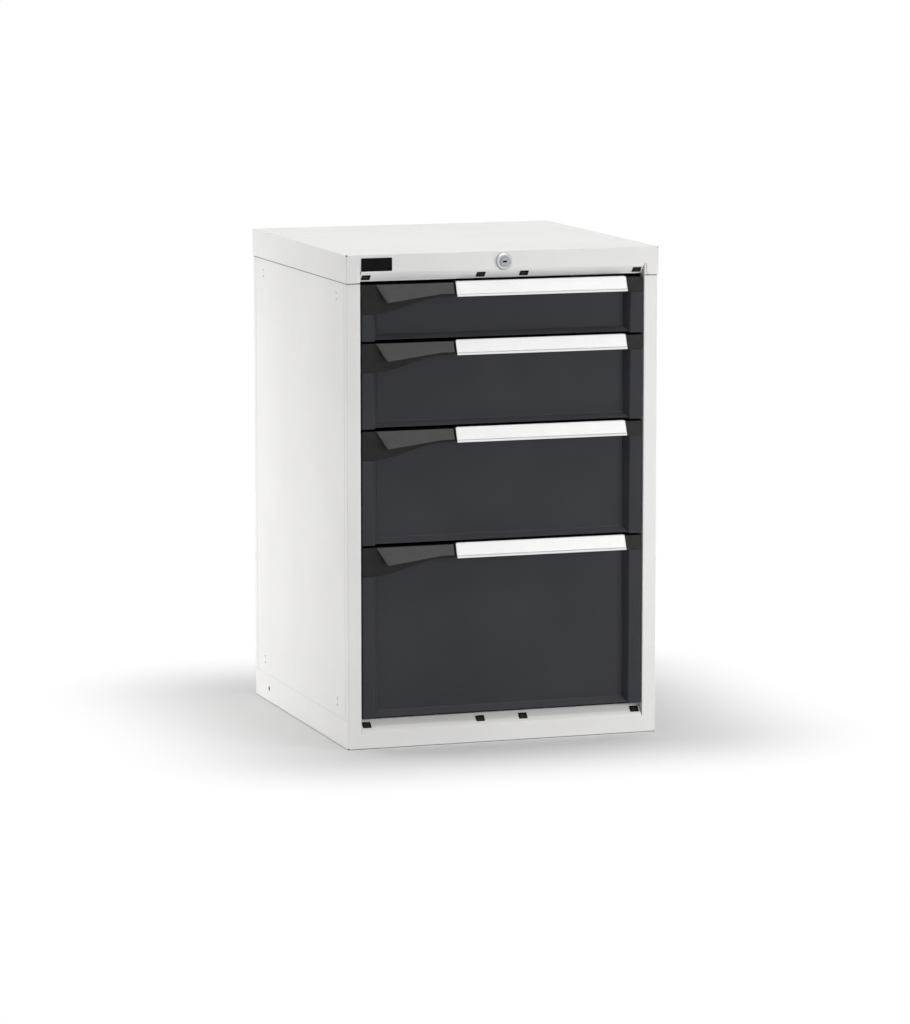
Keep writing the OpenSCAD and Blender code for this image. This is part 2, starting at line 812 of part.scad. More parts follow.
module drawer_left_cap(i) {
  z = -bolt_drop;
  half_h = bolt_h / 2 + latch_play;
  half_t = bolt_t / 2 + latch_play;
  half_window = window_h / 2 + latch_play;
  color([0.1, 0.1, 0.1]) translate([0, 0, front_top(i)]) difference() {
    along_y(strip_y, panel_y) left_cap_outline();
    box([-front_x - over, bolt_y - half_t, z - half_h],
        [bolt_right_x + bolt_room, bolt_y + half_t, z + half_h]);
    box([stem_left_x - latch_stroke - stem_room, strip_y - over, z - half_window],
        [stem_left_x + stem_l + stem_room, bolt_y, z + half_window]);
  }
}

module drawer_right_cap(i) {
  left = front_x - right_cap_w;
  color([0.11, 0.11, 0.11]) translate([0, 0, front_top(i)]) difference() {
    box([left, strip_y, -right_cap_h], [front_x, panel_y, 0]);
    box([left + cap_wall, strip_y + cap_wall, -right_cap_h + cap_wall],
        [front_x - cap_wall, panel_y + over, -cap_wall]);
  }
}

// Outline of the thumb grip, tall at its outer end
module grip_outline() {
  corner_x = grip_left_x + grip_slant;
  polygon([
    [grip_right_x, 0], [grip_left_x, 0], [corner_x, -grip_h],
    [corner_x + grip_taper, -grip_low_h], [grip_right_x, -grip_low_h]
  ]);
}

module drawer_latch(i) {
  back = strip_y - play;
  low = -grip_h - over;
  z = -bolt_drop;
  color([0.16, 0.16, 0.16]) translate([0, 0, front_top(i)]) {
    intersection() {
      along_y(slant_y(low) - over, back) grip_outline();
      along_x(grip_left_x - over, grip_right_x + over)
        polygon([[back, 0], [slant_y(0), 0], [slant_y(low), low], [back, low]]);
    }
    box([stem_left_x, back - eps, z - window_h / 2],
        [stem_left_x + stem_l, bolt_y, z + window_h / 2]);
    box([bolt_left_x, bolt_y - bolt_t / 2, z - bolt_h / 2],
        [bolt_right_x, bolt_y + bolt_t / 2, z + bolt_h / 2]);
  }
}

module drawer_runners(i) {
  z = axle_z(i);
  low = z - channel_r - flange_step;
  high = z + channel_r;
  color([0.72, 0.73, 0.74]) both_sides() {
    box([tray_x, runner_y, low - rail_sheet], [tray_x + rail_sheet, tray_rear_y, high + rail_sheet]);
    box([tray_x, runner_y, low - rail_sheet], [tip_in_x, tray_rear_y, low]);
    box([tray_x, runner_y, high], [tip_in_x, tray_rear_y, high + rail_sheet]);
  }
}

module drawer_carriages(i) {
  z = axle_z(i);
  guide_low = z - channel_r + play;
  guide_high = z + channel_r + flange_step - play;
  color([0.66, 0.67, 0.68]) both_sides() difference() {
    union() {
      box([plate_x - plate_t / 2, carriage_front_y, z - plate_h / 2],
          [plate_x + plate_t / 2, carriage_rear_y, z + plate_h / 2]);
      box([plate_x - plate_t / 2, carriage_rear_y - guide_l, guide_low],
          [column_x - rail_sheet - play, carriage_rear_y, guide_high]);
    }
    for (y = [front_axle_y, middle_axle_y])
      translate([0, y, z])
        rod_x(plate_x - plate_t, plate_x + plate_t, axle_d / 2 + axle_play);
  }
}

// A roller that runs in the drawer runner, with its axle and rivet head
module inner_roller() {
  face = tip_in_x;
  rod_x(tray_x + rail_sheet + roller_gap, face, roller_r);
  rod_x(face - eps, tip_out_x + eps, axle_d / 2);
}

module drawer_front_rollers(i) {
  head = 0.8;
  head_rim = 1.5;
  color([0.9, 0.9, 0.88]) both_sides() translate([0, front_axle_y, axle_z(i)]) {
    inner_roller();
    rod_x(tip_out_x, tip_out_x + head, axle_d / 2 + head_rim);
  }
}

module drawer_middle_rollers(i) {
  color([0.9, 0.9, 0.88]) both_sides() translate([0, middle_axle_y, axle_z(i)]) {
    inner_roller();
    rod_x(tip_out_x, column_x - rail_sheet - roller_gap, roller_r);
  }
}

base_frame();
left_side_panel();
right_side_panel();
back_panel();
top_cover();
rail_columns();
cabinet_rails();
column_rivets();
slot_plugs();
badge_plate();
lock_housing();
lock_nut();
lock_cylinder();
lock_slider();
lock_bar();
drawer_tray(0);  // drawer_1_tray
drawer_front(0);  // drawer_1_front
drawer_handle(0);  // drawer_1_handle
drawer_label_strip(0);  // drawer_1_label_strip
drawer_left_cap(0);  // drawer_1_left_cap
drawer_right_cap(0);  // drawer_1_right_cap
drawer_latch(0);  // drawer_1_latch
drawer_runners(0);  // drawer_1_runners
drawer_carriages(0);  // drawer_1_carriages
drawer_front_rollers(0);  // drawer_1_front_rollers
drawer_middle_rollers(0);  // drawer_1_middle_rollers
drawer_tray(1);  // drawer_2_tray
drawer_front(1);  // drawer_2_front
drawer_handle(1);  // drawer_2_handle
drawer_label_strip(1);  // drawer_2_label_strip
drawer_left_cap(1);  // drawer_2_left_cap
drawer_right_cap(1);  // drawer_2_right_cap
drawer_latch(1);  // drawer_2_latch
drawer_runners(1);  // drawer_2_runners
drawer_carriages(1);  // drawer_2_carriages
drawer_front_rollers(1);  // drawer_2_front_rollers
drawer_middle_rollers(1);  // drawer_2_middle_rollers
drawer_tray(2);  // drawer_3_tray
drawer_front(2);  // drawer_3_front
drawer_handle(2);  // drawer_3_handle
drawer_label_strip(2);  // drawer_3_label_strip
drawer_left_cap(2);  // drawer_3_left_cap
drawer_right_cap(2);  // drawer_3_right_cap
drawer_latch(2);  // drawer_3_latch
drawer_runners(2);  // drawer_3_runners
drawer_carriages(2);  // drawer_3_carriages
drawer_front_rollers(2);  // drawer_3_front_rollers
drawer_middle_rollers(2);  // drawer_3_middle_rollers
drawer_tray(3);  // drawer_4_tray
drawer_front(3);  // drawer_4_front
drawer_handle(3);  // drawer_4_handle
drawer_label_strip(3);  // drawer_4_label_strip
drawer_left_cap(3);  // drawer_4_left_cap
drawer_right_cap(3);  // drawer_4_right_cap
drawer_latch(3);  // drawer_4_latch
drawer_runners(3);  // drawer_4_runners
drawer_carriages(3);  // drawer_4_carriages
drawer_front_rollers(3);  // drawer_4_front_rollers
drawer_middle_rollers(3);  // drawer_4_middle_rollers
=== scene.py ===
"""Looks of the workshop drawer cabinet, in metres and in the same frame as its solids."""
import json
import math

import bmesh
import bpy
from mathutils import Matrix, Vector

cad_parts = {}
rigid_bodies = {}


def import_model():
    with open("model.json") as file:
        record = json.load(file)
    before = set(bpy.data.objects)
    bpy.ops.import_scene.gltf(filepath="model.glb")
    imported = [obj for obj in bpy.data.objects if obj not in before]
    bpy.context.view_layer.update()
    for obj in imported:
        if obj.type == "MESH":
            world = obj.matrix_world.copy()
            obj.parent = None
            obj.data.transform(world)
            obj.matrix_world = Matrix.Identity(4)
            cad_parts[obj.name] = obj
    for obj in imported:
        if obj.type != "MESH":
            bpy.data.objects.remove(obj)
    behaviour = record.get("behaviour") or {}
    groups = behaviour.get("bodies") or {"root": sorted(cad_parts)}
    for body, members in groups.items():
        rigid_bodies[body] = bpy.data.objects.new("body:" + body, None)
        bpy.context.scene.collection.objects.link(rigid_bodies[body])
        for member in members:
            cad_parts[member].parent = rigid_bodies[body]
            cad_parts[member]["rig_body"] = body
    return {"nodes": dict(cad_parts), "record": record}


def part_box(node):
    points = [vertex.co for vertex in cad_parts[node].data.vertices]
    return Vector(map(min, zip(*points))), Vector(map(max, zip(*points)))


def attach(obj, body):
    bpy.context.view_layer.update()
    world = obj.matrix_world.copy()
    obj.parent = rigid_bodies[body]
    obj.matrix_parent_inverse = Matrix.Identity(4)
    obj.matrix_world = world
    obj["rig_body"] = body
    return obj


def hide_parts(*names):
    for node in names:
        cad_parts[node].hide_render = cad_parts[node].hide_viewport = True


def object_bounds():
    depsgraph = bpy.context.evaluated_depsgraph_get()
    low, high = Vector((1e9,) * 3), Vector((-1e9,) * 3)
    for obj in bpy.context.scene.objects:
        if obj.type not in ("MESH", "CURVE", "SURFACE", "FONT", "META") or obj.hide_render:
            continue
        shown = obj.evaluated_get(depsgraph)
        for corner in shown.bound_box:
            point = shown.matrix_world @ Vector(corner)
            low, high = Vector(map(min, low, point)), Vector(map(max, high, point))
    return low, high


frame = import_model()
cad_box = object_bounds()
nodes = frame["nodes"]
slots = {part["node"]: part["material_slot"] for part in frame["record"]["subparts"]}
collection = bpy.context.scene.collection

MM = 0.001
# Two places closer than this count as the same place
NEAR = 0.02 * MM
CUT_NEAR = 0.1 * NEAR
WELD = 0.001 * MM
# Place of a piece's second material
SECOND = 1
ALONG = {
    "x": Vector((1.0, 0.0, 0.0)),
    "y": Vector((0.0, 1.0, 0.0)),
    "z": Vector((0.0, 0.0, 1.0)),
}
DRAWERS = ("drawer_1", "drawer_2", "drawer_3", "drawer_4")


# Materials

# Part of a noise's range that is spread over a range of values
NOISE_LOW = 0.3
NOISE_HIGH = 0.7
# Detail of a plain noise, of a fine relief and of brushed streaks
PLAIN_DETAIL = 3.0
FINE_DETAIL = 2.0
STREAK_DETAIL = 4.0
# Scales of tone, gloss and relief, and height of the relief, for each kind of surface
PAINT_TONE = 7.0
PAINT_GLOSS = 40.0
PAINT_GRAIN = 750.0
PAINT_RELIEF = 0.006 * MM
PLASTIC_TONE = 60.0
PLASTIC_GLOSS = 90.0
PLASTIC_GRAIN = 1600.0
PLASTIC_RELIEF = 0.008 * MM
STREAK_ALONG = 12.0
STREAK_ACROSS = 1800.0
STREAK_RELIEF = 0.002 * MM
ZINC_CRYSTALS = 160.0
ZINC_GLOSS = 220.0
ZINC_GRAIN = 500.0
ZINC_RELIEF = 0.004 * MM


class Surface:
    """A node material that is put together step by step around its Principled shader."""

    def __init__(self, name, **constants):
        self.material = bpy.data.materials.new(name)
        self.material.use_nodes = True
        self.tree = self.material.node_tree
        self.shader = self.tree.nodes["Principled BSDF"]
        self.place = self.tree.nodes.new("ShaderNodeTexCoord").outputs["Object"]
        for socket, value in constants.items():
            self.shader.inputs[socket.replace("_", " ")].default_value = value

    def link(self, output, target):
        self.tree.links.new(output, target)

    def stretched(self, x, y, z):
        """Object coordinates scaled along each axis."""
        mapping = self.tree.nodes.new("ShaderNodeMapping")
        mapping.inputs["Scale"].default_value = (x, y, z)
        self.link(self.place, mapping.inputs["Vector"])
        return mapping.outputs["Vector"]

    def noise(self, scale, detail=PLAIN_DETAIL, vector=None):
        texture = self.tree.nodes.new("ShaderNodeTexNoise")
        texture.inputs["Scale"].default_value = scale
        texture.inputs["Detail"].default_value = detail
        self.link(vector or self.place, texture.inputs["Vector"])
        return texture.outputs["Fac"]

    def cells(self, scale):
        """Random tone of each crystal in a spangled coat."""
        texture = self.tree.nodes.new("ShaderNodeTexVoronoi")
        texture.inputs["Scale"].default_value = scale
        self.link(self.place, texture.inputs["Vector"])
        split = self.tree.nodes.new("ShaderNodeSeparateColor")
        self.link(texture.outputs["Color"], split.inputs["Color"])
        return split.outputs["Red"]

    def spread(self, factor, low, high):
        """Maps the middle of a noise to a range of values."""
        node = self.tree.nodes.new("ShaderNodeMapRange")
        node.inputs["From Min"].default_value = NOISE_LOW
        node.inputs["From Max"].default_value = NOISE_HIGH
        node.inputs["To Min"].default_value = low
        node.inputs["To Max"].default_value = high
        self.link(factor, node.inputs["Value"])
        return node.outputs["Result"]

    def colour(self, factor, dark, light):
        node = self.tree.nodes.new("ShaderNodeMix")
        node.data_type = "RGBA"
        mix = {socket.identifier: socket for socket in node.inputs}
        mix["A_Color"].default_value = (*dark, 1.0)
        mix["B_Color"].default_value = (*light, 1.0)
        self.link(self.spread(factor, 0.0, 1.0), mix["Factor_Float"])
        result = next(socket for socket in node.outputs if socket.identifier == "Result_Color")
        self.link(result, self.shader.inputs["Base Color"])

    def roughness(self, factor, low, high):
        self.link(self.spread(factor, low, high), self.shader.inputs["Roughness"])

    def skin(self, height, depth):
        """Fine relief of the surface, at most depth metres."""
        node = self.tree.nodes.new("ShaderNodeBump")
        node.inputs["Strength"].default_value = 1.0
        node.inputs["Distance"].default_value = depth
        self.link(height, node.inputs["Height"])
        self.link(node.outputs["Normal"], self.shader.inputs["Normal"])


def powder_coat(name, dark, light, specular, rough):
    """Paint between two tones. Rough is its least and largest roughness."""
    surface = Surface(name, Specular_IOR_Level=specular)
    surface.colour(surface.noise(PAINT_TONE), dark, light)
    surface.roughness(surface.noise(PAINT_GLOSS), *rough)
    surface.skin(surface.noise(PAINT_GRAIN, FINE_DETAIL), PAINT_RELIEF)
    return surface.material


def moulded(name, dark, light, specular, rough):
    """Plastic between two tones. Rough is its least and largest roughness."""
    surface = Surface(name, Specular_IOR_Level=specular)
    surface.colour(surface.noise(PLASTIC_TONE), dark, light)
    surface.roughness(surface.noise(PLASTIC_GLOSS), *rough)
    surface.skin(surface.noise(PLASTIC_GRAIN, FINE_DETAIL), PLASTIC_RELIEF)
    return surface.material


def brushed(name, dark, light, rough):
    """Metal with fine streaks along X."""
    surface = Surface(name, Metallic=1.0)
    place = surface.stretched(STREAK_ALONG, STREAK_ACROSS, STREAK_ACROSS)
    streaks = surface.noise(1.0, STREAK_DETAIL, place)
    surface.colour(streaks, dark, light)
    surface.roughness(streaks, *rough)
    surface.skin(streaks, STREAK_RELIEF)
    return surface.material


def spangled(name, dark, light, rough):
    """Metal with the crystals of a zinc coat."""
    surface = Surface(name, Metallic=1.0)
    surface.colour(surface.cells(ZINC_CRYSTALS), dark, light)
    surface.roughness(surface.noise(ZINC_GLOSS), *rough)
    surface.skin(surface.noise(ZINC_GRAIN), ZINC_RELIEF)
    return surface.material


carcass_paint = powder_coat(
    "light_grey_powder_coat", dark=(0.735, 0.730, 0.716), light=(0.765, 0.760, 0.745),
    specular=0.20, rough=(0.42, 0.54))
front_paint = powder_coat(
    "anthracite_powder_coat", dark=(0.0400, 0.0410, 0.0475), light=(0.0460, 0.0470, 0.0540),
    specular=0.03, rough=(0.44, 0.56))
front_sheen = powder_coat(
    "anthracite_on_slopes", dark=(0.0400, 0.0410, 0.0475), light=(0.0460, 0.0470, 0.0540),
    specular=0.24, rough=(0.38, 0.48))
cap_plastic = moulded(
    "dark_grey_plastic", dark=(0.0165, 0.0165, 0.0160), light=(0.0215, 0.0215, 0.0208),
    specular=0.12, rough=(0.42, 0.55))
end_plastic = moulded(
    "end_plastic", dark=(0.0225, 0.0225, 0.0220), light=(0.0285, 0.0285, 0.0280),
    specular=0.12, rough=(0.42, 0.55))
# Painted light: a lighter copy of the dark cap plastic for the thumb grip, standing in for the light and
# sheen its upward-leaning facet catches
grip_plastic_painted_light = moulded(
    "grip_plastic_painted_light", dark=(0.070, 0.070, 0.069), light=(0.078, 0.078, 0.077),
    specular=0.15, rough=(0.42, 0.52))
black_plastic = moulded(
    "black_plastic", dark=(0.004, 0.004, 0.004), light=(0.007, 0.007, 0.007),
    specular=0.06, rough=(0.35, 0.50))
label_white = moulded(
    "blank_label", dark=(0.93, 0.93, 0.93), light=(0.96, 0.96, 0.96),
    specular=0.20, rough=(0.35, 0.48))
# Painted shade: a darker grey for grooves, corner pits, rivet bores and the base's lower edge, where shade
# falls
painted_seam_shade = moulded(
    "painted_shade_in_seams", dark=(0.15, 0.15, 0.145), light=(0.21, 0.21, 0.20),
    specular=0.05, rough=(0.60, 0.75))
roller_nylon = moulded(
    "natural_nylon", dark=(0.74, 0.73, 0.69), light=(0.80, 0.79, 0.75),
    specular=0.40, rough=(0.35, 0.48))
handle_metal = brushed(
    "satin_aluminium", dark=(0.76, 0.76, 0.77), light=(0.84, 0.84, 0.85),
    rough=(0.28, 0.40))
lock_chrome = brushed(
    "satin_chrome", dark=(0.55, 0.56, 0.57), light=(0.65, 0.66, 0.67),
    rough=(0.26, 0.36))
key_metal = brushed(
    "worn_nickel", dark=(0.37, 0.39, 0.41), light=(0.47, 0.49, 0.51),
    rough=(0.24, 0.36))
zinc_sheet = spangled(
    "zinc_coat", dark=(0.50, 0.51, 0.53), light=(0.66, 0.67, 0.69),
    rough=(0.30, 0.46))

finishes = {
    "carcass_paint": carcass_paint,
    "front_paint": front_paint,
    "zinc_sheet": zinc_sheet,
    "black_plastic": black_plastic,
    "cap_plastic": cap_plastic,
    "handle_profile": handle_metal,
    "label_white": label_white,
    "roller_nylon": roller_nylon,
    "lock_chrome": lock_chrome,
}


# Mesh helpers

# Angles in degrees: faces that count as one flat face, edges shaded as sharp, and edges that get rounded
FLAT_ANGLE = 0.5
SHARP_ANGLE = 32.0
ROUNDED_ANGLE = 28.0
EDGE_STEPS = 2
# Size of the pits at folded corners
PIT_REACH = 2.6 * MM
PIT_DEPTH = 3.0 * MM


def solid(node):
    """The solid of a node as an editable mesh with whole flat faces."""
    bm = bmesh.new()
    bm.from_mesh(nodes[node].data)
    bmesh.ops.remove_doubles(bm, verts=bm.verts, dist=WELD)
    bmesh.ops.dissolve_limit(bm, angle_limit=math.radians(FLAT_ANGLE), verts=bm.verts, edges=bm.edges)
    return bm


def edges_at(bm, **place):
    """Edges that lie whole at the named coordinates, in metres."""
    return [
        edge for edge in bm.edges
        if all(abs(getattr(v.co, axis) - at) < NEAR for v in edge.verts for axis, at in place.items())
    ]


def round_edges(bm, edges, radius, segments=4):
    bmesh.ops.bevel(
        bm, geom=list(dict.fromkeys(edges)), offset=radius, offset_type="OFFSET", segments=segments,
        profile=0.5, affect="EDGES", clamp_overlap=False)


def cut(bm, place, across):
    """Cuts a mesh where it meets a plane, and returns the vertices on the cut."""
    result = bmesh.ops.bisect_plane(
        bm, geom=bm.verts[:] + bm.edges[:] + bm.faces[:], dist=CUT_NEAR, plane_co=place, plane_no=across)
    return [item for item in result["geom_cut"] if isinstance(item, bmesh.types.BMVert)]


def dress(node, bm, material=None, second=None, sharp=SHARP_ANGLE, edge=0.0):
    """Puts a finished mesh in the place of a node.

    Faces marked SECOND take the second material. Edge is a small rounding of the sharp edges.
    """
    name = node + "_finished"
    slot = slots[node]
    bmesh.ops.recalc_face_normals(bm, faces=bm.faces)
    mesh = bpy.data.meshes.new(name)
    bm.to_mesh(mesh)
    bm.free()
    mesh.materials.append(material or finishes[slot])
    if second:
        mesh.materials.append(second)
    mesh.shade_smooth()
    mesh.set_sharp_from_angle(angle=math.radians(sharp))
    piece = bpy.data.objects.new(name, mesh)
    collection.objects.link(piece)
    if edge:
        bevel = piece.modifiers.new("edges", "BEVEL")
        bevel.width = edge
        bevel.segments = EDGE_STEPS
        bevel.limit_method = "ANGLE"
        bevel.angle_limit = math.radians(ROUNDED_ANGLE)
        bevel.harden_normals = False
    weighted = piece.modifiers.new("normals", "WEIGHTED_NORMAL")
    weighted.keep_sharp = True
    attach(piece, nodes[node]["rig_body"])
    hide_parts(node)


def turned(bm, profile, steps, centre, axis):
    """Adds rings around a line along X or Y, one for each (radius, place on the line), and joins them."""
    rows = []
    for radius, at in profile:
        row = []
        for k in range(steps):
            angle = 2 * math.pi * k / steps
            across = radius * math.cos(angle)
            up = centre.z + radius * math.sin(angle)
            if axis == "x":
                point = (at, centre.y + across, up)
            else:
                point = (centre.x + across, at, up)
            row.append(bm.verts.new(point))
        rows.append(row)
    for a, b in zip(rows, rows[1:]):
        for k in range(steps):
            n = (k + 1) % steps
            bm.faces.new((a[k], a[n], b[n], b[k]))
    return rows


def groove(bm, axis, at, width, depth, wanted):
    """Presses a V-shaped line into a mesh where a plane across an axis meets the wanted vertices. Its faces
    take the second material as painted shade.
    """
    along = ALONG[axis]
    cut(bm, along * (at - width / 2), along)
    cut(bm, along * (at + width / 2), along)
    middle = cut(bm, along * at, along)
    bm.normal_update()
    moves = [(vertex, vertex.normal * depth) for vertex in middle if wanted(vertex)]
    for vertex, move in moves:
        vertex.co -= move
    moved = {vertex for vertex, move in moves}
    for vertex in moved:
        for face in vertex.link_faces:
            if sum(corner in moved for corner in face.verts) > 1:
                face.material_index = SECOND


def pit_corners(bm, corners, middle):
    """Small pits where three folds meet, at the corners of a folded sheet. Their faces take the second
    material as painted shade.
    """
    for corner in corners:
        inward = Vector(math.copysign(1.0, m - c) for m, c in zip(middle, corner))
        for across in ALONG.values():
            cut(bm, corner + inward * PIT_REACH, across)
        moved = set()
        for vertex in bm.verts:
            share = 1.0 - (vertex.co - corner).length / PIT_REACH
            if share > 0.0:
                vertex.co += inward.normalized() * PIT_DEPTH * share
                moved.add(vertex)
        for face in bm.faces:
            if any(vertex in moved for vertex in face.verts):
                face.material_index = SECOND


def islands(node):
    """The lowest and highest corner of each separate solid in a node."""
    bm = solid(node)
    left = dict.fromkeys(bm.verts)
    boxes = []
    while left:
        ready = [left.popitem()[0]]
        places = []
        while ready:
            vertex = ready.pop()
            places.append(vertex.co.copy())
            for edge in vertex.link_edges:
                other = edge.other_vert(vertex)
                if other in left:
                    del left[other]
                    ready.append(other)
        low = Vector(min(place[i] for place in places) for i in range(3))
        high = Vector(max(place[i] for place in places) for i in range(3))
        boxes.append((low, high))
    bm.free()
    return boxes


# Carcass

FOLD = 1.8 * MM
CORNER_FOLD = 0.9 * MM
BEVEL = 17.5 * MM
SILL_DROP = 1.0 * MM
# Line under the cover's skirt, and upright seams of the side panels, whose grooves carry painted shade
SKIRT_LINE_W = 2.0 * MM
SKIRT_LINE_D = 1.2 * MM
SKIRT_LINE_DROP = 0.4 * SKIRT_LINE_W
SEAM_W = 0.6 * MM
SEAM_D = 0.4 * MM
FRONT_SEAM = 16.0 * MM
REAR_SEAM = 14.5 * MM
# Seam between a side panel and the base, the lower edge of the base (both chamfered and darkened as painted
# shade), and how far they lean
BASE_LINE = 0.2 * MM
FOOT_EDGE = 1.1 * MM
CHAMFER_LEAST = 0.5
CHAMFER_MOST = 0.9
# Upright edge below the cover's slanted face, how far it ends above the skirt, and half the opening
LIP = 3.4 * MM
LIP_RISE = 1.5 * MM
LIP_FOLD = 0.4 * MM
OPENING_X = 255.6 * MM


def dress_cover():
    low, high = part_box("top_cover")
    bm = solid("top_cover")
    cut(bm, ALONG["z"] * (low.z + LIP), ALONG["z"])
    lip_y = low.y + BEVEL - LIP
    for vertex in bm.verts:
        if abs(vertex.co.y - low.y - BEVEL) < NEAR and abs(vertex.co.z - low.z) < NEAR:
            vertex.co.y = lip_y
    for vertex in bm.verts:
        in_opening = abs(vertex.co.x) < OPENING_X and vertex.co.y < 0.0
        if in_opening and vertex.co.y > lip_y - NEAR and vertex.co.z < low.z + LIP - NEAR:
            vertex.co.z += LIP_RISE
    round_edges(bm, edges_at(bm, y=low.y, z=low.z + BEVEL), FOLD)
    lip_edges = edges_at(bm, y=lip_y, z=low.z + LIP_RISE) + edges_at(bm, y=lip_y, z=low.z + LIP)
    round_edges(bm, lip_edges, LIP_FOLD, segments=2)
    folds = []
    for x in (low.x, high.x):
        folds += edges_at(bm, x=x, z=high.z)
        for y in (low.y, high.y):
            folds += edges_at(bm, x=x, y=y)
    for y in (low.y, high.y):
        folds += edges_at(bm, y=y, z=high.z)
    round_edges(bm, folds, CORNER_FOLD)
    corners = [Vector((x, low.y, high.z)) for x in (low.x, high.x)]
    pit_corners(bm, corners, (low + high) / 2)
    dress("top_cover", bm, second=painted_seam_shade)


def dress_side(node):
    low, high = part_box(node)
    bm = solid(node)
    outer, inner = (low.x, high.x) if node.startswith("left") else (high.x, low.x)
    folds = edges_at(bm, x=outer, y=low.y) + edges_at(bm, x=outer, y=high.y)
    folds += edges_at(bm, x=inner, y=low.y)
    round_edges(bm, folds, CORNER_FOLD)

    def outside(vertex):
        facing_out = vertex.normal.x * outer > 0.0 and abs(vertex.co.x - outer) < CORNER_FOLD
        facing_front = vertex.normal.y < 0.0 and vertex.co.y < low.y + CORNER_FOLD
        facing_back = vertex.normal.y > 0.0 and vertex.co.y > high.y - CORNER_FOLD
        return facing_out or facing_front or facing_back

    def on_side(vertex):
        return abs(vertex.co.x - outer) < NEAR

    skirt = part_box("top_cover")[0].z
    groove(bm, "z", skirt - SKIRT_LINE_DROP, SKIRT_LINE_W, SKIRT_LINE_D, outside)
    groove(bm, "y", low.y + FRONT_SEAM, SEAM_W, SEAM_D, on_side)
    groove(bm, "y", high.y - REAR_SEAM, SEAM_W, SEAM_D, on_side)
    dress(node, bm, second=painted_seam_shade)


def dress_base():
    low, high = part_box("base_frame")
    bm = solid("base_frame")
    sill = high.z - SILL_DROP
    folds = edges_at(bm, y=low.y, z=sill - BEVEL) + edges_at(bm, y=low.y + BEVEL, z=sill)
    round_edges(bm, folds, FOLD)
    foot = []
    for x in (low.x, high.x):
        foot += edges_at(bm, x=x, z=low.z)
        round_edges(bm, edges_at(bm, x=x, z=high.z), BASE_LINE, segments=1)
    for y in (low.y, high.y):
        foot += edges_at(bm, y=y, z=low.z)
    round_edges(bm, foot, FOOT_EDGE, segments=1)
    bm.normal_update()
    # Chamfers at the seam and at the foot take the second material: painted shade and a painted contact
    # shadow at the floor
    for face in bm.faces:
        middle = face.calc_center_median().z
        at_end = middle < low.z + FOOT_EDGE or middle > high.z - BASE_LINE
        if at_end and CHAMFER_LEAST < abs(face.normal.z) < CHAMFER_MOST:
            face.material_index = SECOND
    folds = []
    for x in (low.x, high.x):
        for y in (low.y, high.y):
            folds += edges_at(bm, x=x, y=y)
    round_edges(bm, folds, CORNER_FOLD)
    corners = [Vector((x, low.y, low.z)) for x in (low.x, high.x)]
    pit_corners(bm, corners, (low + high) / 2)
    dress("base_frame", bm, second=painted_seam_shade)


dress_cover()
dress_side("left_side_panel")
dress_side("right_side_panel")
dress_base()


# Plugs, badge and rivets

# Faces whose normal leans at least this far to the front
FACING_FRONT = 0.5
# A plug's head lies on a slope of 45 degrees
HEAD_SLOPE = math.sqrt(0.5)
HEAD_SLOPE_NEAR = 0.01
HEAD_AREA = 100 * MM * MM
HEAD_RIM = 3.2 * MM
HEAD_STEP = 0.5 * MM
HEAD_DISH = 0.4 * MM
HEAD_EDGE = 0.25 * MM
BADGE_CORNER = 1.0 * MM
BADGE_EDGE = 0.35 * MM
RIVET_STEPS = 32
RIVET_BORE = 1.5 * MM
# Rivet's head: depth and width of its edge, depth of its dish, and how far outside the bore that ends
RIVET_EDGE_D = 0.3 * MM
RIVET_EDGE_W = 0.25 * MM
RIVET_DISH_D = 0.25 * MM
RIVET_DISH_W = 0.2 * MM
# Where the straight bore begins behind the head, how thick its closed end is, and from what depth it
# carries painted shade
RIVET_MOUTH = 0.5 * MM
RIVET_END = 0.6 * MM
RIVET_SHADE = 0.2 * MM


def dress_plugs():
    """Plug heads with a shallow dished middle and softened edges."""
    bm = solid("slot_plugs")
    heads = [
        face for face in bm.faces
        if face.normal.y < -FACING_FRONT and abs(abs(face.normal.z) - HEAD_SLOPE) < HEAD_SLOPE_NEAR
        and face.calc_area() > HEAD_AREA
    ]
    bmesh.ops.inset_individual(bm, faces=heads, thickness=HEAD_RIM, depth=0.0)
    bmesh.ops.inset_individual(bm, faces=heads, thickness=HEAD_STEP, depth=-HEAD_DISH)
    for head in heads:
        head.material_index = SECOND
    dress("slot_plugs", bm, second=end_plastic, edge=HEAD_EDGE)


def dress_badge():
    low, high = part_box("badge_plate")
    bm = solid("badge_plate")
    corners = [edge for x in (low.x, high.x) for z in (low.z, high.z) for edge in edges_at(bm, x=x, z=z)]
    round_edges(bm, corners, BADGE_CORNER)
    round_edges(bm, edges_at(bm, y=low.y), BADGE_EDGE, segments=3)
    dress("badge_plate", bm)


def dress_rivets():
    """Hollow rivets, each with a dished head around its bore, with painted shade inside the bore."""
    bm = bmesh.new()
    boxes = islands("column_rivets")
    for low, high in boxes:
        centre = (low + high) / 2
        radius = (high.z - low.z) / 2
        head, tail = (low.x, high.x) if centre.x < 0 else (high.x, low.x)
        inward = 1 if tail > head else -1
        profile = [
            (radius, tail),
            (radius, head + RIVET_EDGE_D * inward),
            (radius - RIVET_EDGE_W, head),
            (RIVET_BORE + RIVET_DISH_W, head + RIVET_DISH_D * inward),
            (RIVET_BORE, head + RIVET_MOUTH * inward),
            (RIVET_BORE, tail - RIVET_END * inward),
        ]
        rows = turned(bm, profile, RIVET_STEPS, centre, "x")
        bm.faces.new(rows[0])
        bm.faces.new(rows[-1])
    outermost = max(high.x for low, high in boxes)
    # Faces inside the bore take painted shade
    for face in bm.faces:
        if max(abs(vertex.co.x) for vertex in face.verts) < outermost - RIVET_SHADE:
            face.material_index = SECOND
    dress("column_rivets", bm, second=painted_seam_shade)


